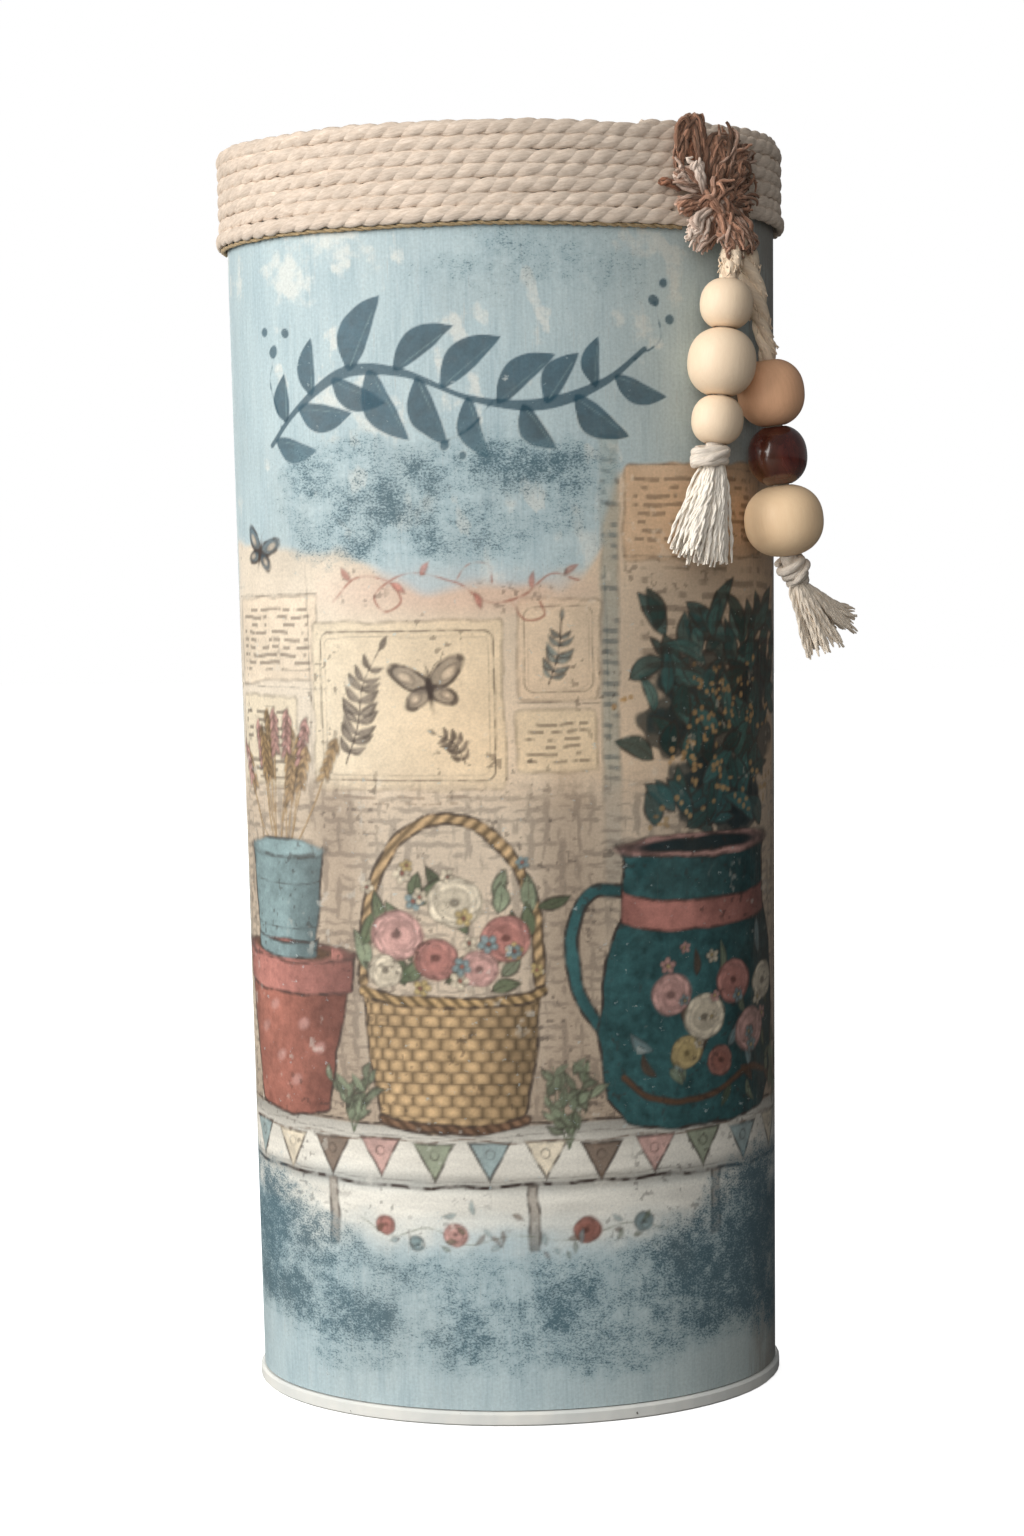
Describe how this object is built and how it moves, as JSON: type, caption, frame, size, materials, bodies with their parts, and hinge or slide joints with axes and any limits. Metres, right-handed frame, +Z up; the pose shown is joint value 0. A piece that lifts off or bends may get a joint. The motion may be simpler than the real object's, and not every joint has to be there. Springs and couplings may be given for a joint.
{
  "type": "oval vase",
  "caption": "Tall oval tin vase with a seamed base, printed paper sleeve, wound rope collar, jute tuft and two hanging strands of beads with tassels.",
  "frame": {"origin": "centre of the oval base, on the surface that the vase stands on", "axes": "+Z up, -Y towards the front, +X to the viewer's right along the wide side"},
  "size_m": [0.1929, 0.128, 0.3873],
  "materials": {
    "base_enamel": "off-white enamel on rolled tinplate, slightly chipped",
    "tinplate": "plain tinplate, satin",
    "printed_paper": "painted and printed paper under matt varnish, brushed and sponged",
    "cotton_rope": "three-ply twisted cotton rope, cream beige",
    "jute": "thin tan jute twine",
    "jute_tow": "brown jute tow, frayed, with pale tips",
    "cotton_cord": "soft cream cotton cord and yarn",
    "turned_wood": "pale turned wood, satin, faint grain",
    "dark_glaze": "glossy dark red-brown"
  },
  "bodies": {
    "vase": {"base_end": "base_enamel", "tin_body": "tinplate", "printed_sleeve": "printed_paper", "rope_wrap": "cotton_rope", "jute_twine": "jute", "tuft_left_loop": "jute_tow", "tuft_right_lock": "jute_tow", "tuft_cut_ends": "jute_tow", "tuft_tie": "jute_tow", "tuft_fringe": "jute_tow"},
    "left_hanger": {"left_cord_top": "cotton_cord"},
    "left_strand": {"left_cord": "cotton_cord", "left_knot": "cotton_cord", "left_tassel": "cotton_cord"},
    "left_upper": {"left_upper_bead": "turned_wood"},
    "left_middle": {"left_middle_bead": "turned_wood"},
    "left_lower": {"left_lower_bead": "turned_wood"},
    "right_hanger": {"right_cord_top": "cotton_cord"},
    "right_strand": {"right_cord": "cotton_cord", "right_knot": "cotton_cord", "right_tassel": "cotton_cord"},
    "right_upper": {"right_upper_bead": "turned_wood"},
    "right_dark": {"right_dark_bead": "dark_glaze"},
    "right_lower": {"right_lower_bead": "turned_wood"}
  },
  "joints": [
    {"name": "left_lift", "type": "hinge", "parent": "vase", "child": "left_hanger", "pos_m": [0.0697, -0.04436, 0.3473], "axis": [-0.7823, -0.6229, 0], "range_deg": [0, 60]},
    {"name": "left_sway", "type": "hinge", "parent": "left_hanger", "child": "left_strand", "pos_m": [0.06756, -0.04831, 0.3414], "axis": [-0.5826, 0.8127, 0.0139], "range_deg": [0, 35]},
    {"name": "left_upper_turn", "type": "hinge", "parent": "left_strand", "child": "left_upper", "pos_m": [0.06663, -0.04881, 0.33161], "axis": [0.0944, 0.0507, 0.9942], "continuous": true},
    {"name": "left_middle_turn", "type": "hinge", "parent": "left_strand", "child": "left_middle", "pos_m": [0.06502, -0.04967, 0.31466], "axis": [0.0944, 0.0507, 0.9942], "continuous": true},
    {"name": "left_lower_turn", "type": "hinge", "parent": "left_strand", "child": "left_lower", "pos_m": [0.06343, -0.05053, 0.2979], "axis": [0.0944, 0.0507, 0.9942], "continuous": true},
    {"name": "right_lift", "type": "hinge", "parent": "vase", "child": "right_hanger", "pos_m": [0.07397, -0.04015, 0.3473], "axis": [-0.7314, -0.6819, 0], "range_deg": [0, 60]},
    {"name": "right_sway", "type": "hinge", "parent": "right_hanger", "child": "right_strand", "pos_m": [0.07929, -0.03645, 0.319], "axis": [0.7418, -0.6692, 0.0434], "range_deg": [0, 35]},
    {"name": "right_upper_turn", "type": "hinge", "parent": "right_strand", "child": "right_upper", "pos_m": [0.08051, -0.0359, 0.30657], "axis": [-0.0975, -0.0436, 0.9943], "continuous": true},
    {"name": "right_dark_turn", "type": "hinge", "parent": "right_strand", "child": "right_dark", "pos_m": [0.08233, -0.0351, 0.28808], "axis": [-0.0975, -0.0436, 0.9943], "continuous": true},
    {"name": "right_lower_turn", "type": "hinge", "parent": "right_strand", "child": "right_lower", "pos_m": [0.08422, -0.03425, 0.26879], "axis": [-0.0975, -0.0436, 0.9943], "continuous": true}
  ]
}
